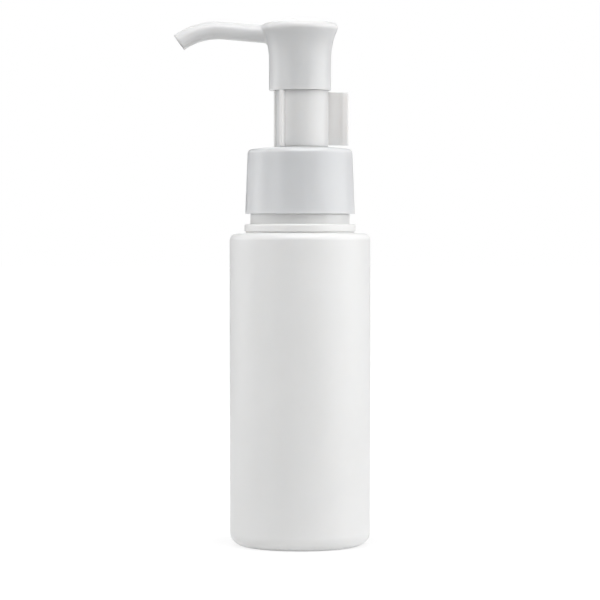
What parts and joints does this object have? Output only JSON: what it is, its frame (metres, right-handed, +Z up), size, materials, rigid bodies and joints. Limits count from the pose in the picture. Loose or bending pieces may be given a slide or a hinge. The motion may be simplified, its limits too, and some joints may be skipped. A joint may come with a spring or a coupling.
{
  "type": "lotion pump bottle",
  "caption": "Small cylindrical plastic bottle with a screw cap and a lotion pump, whose head has a long down-bent nozzle and is held up by a pull-off lock clip.",
  "frame": {"origin": "centre of the flat base, on the axis of the bottle", "axes": "+Z up along the axis of the bottle; the nozzle points along -X, and the tab of the lock clip 7.8 degrees from +X towards +Y"},
  "size_m": [0.0558, 0.04, 0.1498],
  "materials": {
    "bottle_hdpe": "blow-moulded opaque white HDPE, satin",
    "cap_pp": "injection-moulded polypropylene, smooth, very slightly bluish white",
    "head_pp": "injection-moulded polypropylene, smooth white",
    "clip_pp": "injection-moulded polypropylene, smooth, very slightly warm white",
    "housing_pp": "injection-moulded natural polypropylene",
    "piston_pe": "injection-moulded polyethylene",
    "dip_tube_pe": "extruded polyethylene tube",
    "gasket_foam": "die-cut polyethylene foam",
    "spring_steel": "drawn stainless spring wire",
    "ball_steel": "ground stainless ball"
  },
  "bodies": {
    "bottle_body": {"bottle": "bottle_hdpe"},
    "pump_body": {"pump_housing": "housing_pp", "housing_collar": "housing_pp", "neck_gasket": "gasket_foam", "dip_tube": "dip_tube_pe", "return_spring": "spring_steel"},
    "cap_body": {"screw_cap": "cap_pp"},
    "ball_body": {"inlet_ball": "ball_steel"},
    "plunger_body": {"piston_rod": "piston_pe"},
    "piston_body": {"piston": "piston_pe"},
    "head_body": {"pump_head": "head_pp", "stem": "housing_pp"},
    "clip_body": {"lock_clip": "clip_pp"}
  },
  "joints": [
    {"name": "pump_lift", "type": "slide", "parent": "bottle_body", "child": "pump_body", "axis": [0, 0, 1], "range_m": [0, 0.00634]},
    {"name": "cap_turn", "type": "hinge", "parent": "pump_body", "child": "cap_body", "pos_m": [0, 0, 0.1], "axis": [0, 0, 1], "range_deg": [0, 540]},
    {"name": "head_press", "type": "slide", "parent": "pump_body", "child": "plunger_body", "axis": [0, 0, -1], "range_m": [0, 0.0145], "stiffness_N_per_m": 600, "springref_m": -0.008, "deforming": ["return_spring"]},
    {"name": "piston_slip", "type": "slide", "parent": "plunger_body", "child": "piston_body", "axis": [0, 0, 1], "range_m": [0, 0.0012]},
    {"name": "head_turn", "type": "hinge", "parent": "plunger_body", "child": "head_body", "pos_m": [0, 0, 0.1], "axis": [0, 0, 1], "continuous": true},
    {"name": "ball_lift", "type": "slide", "parent": "pump_body", "child": "ball_body", "axis": [0, 0, 1], "range_m": [0, 0.0015]},
    {"name": "clip_pull", "type": "slide", "parent": "pump_body", "child": "clip_body", "axis": [0.9907, 0.1357, 0], "range_m": [0, 0.026], "deforming": ["lock_clip"]}
  ],
  "couplings": [
    {"joint": "cap_turn", "follows": "pump_lift", "rad_per_m": 1485.4}
  ]
}
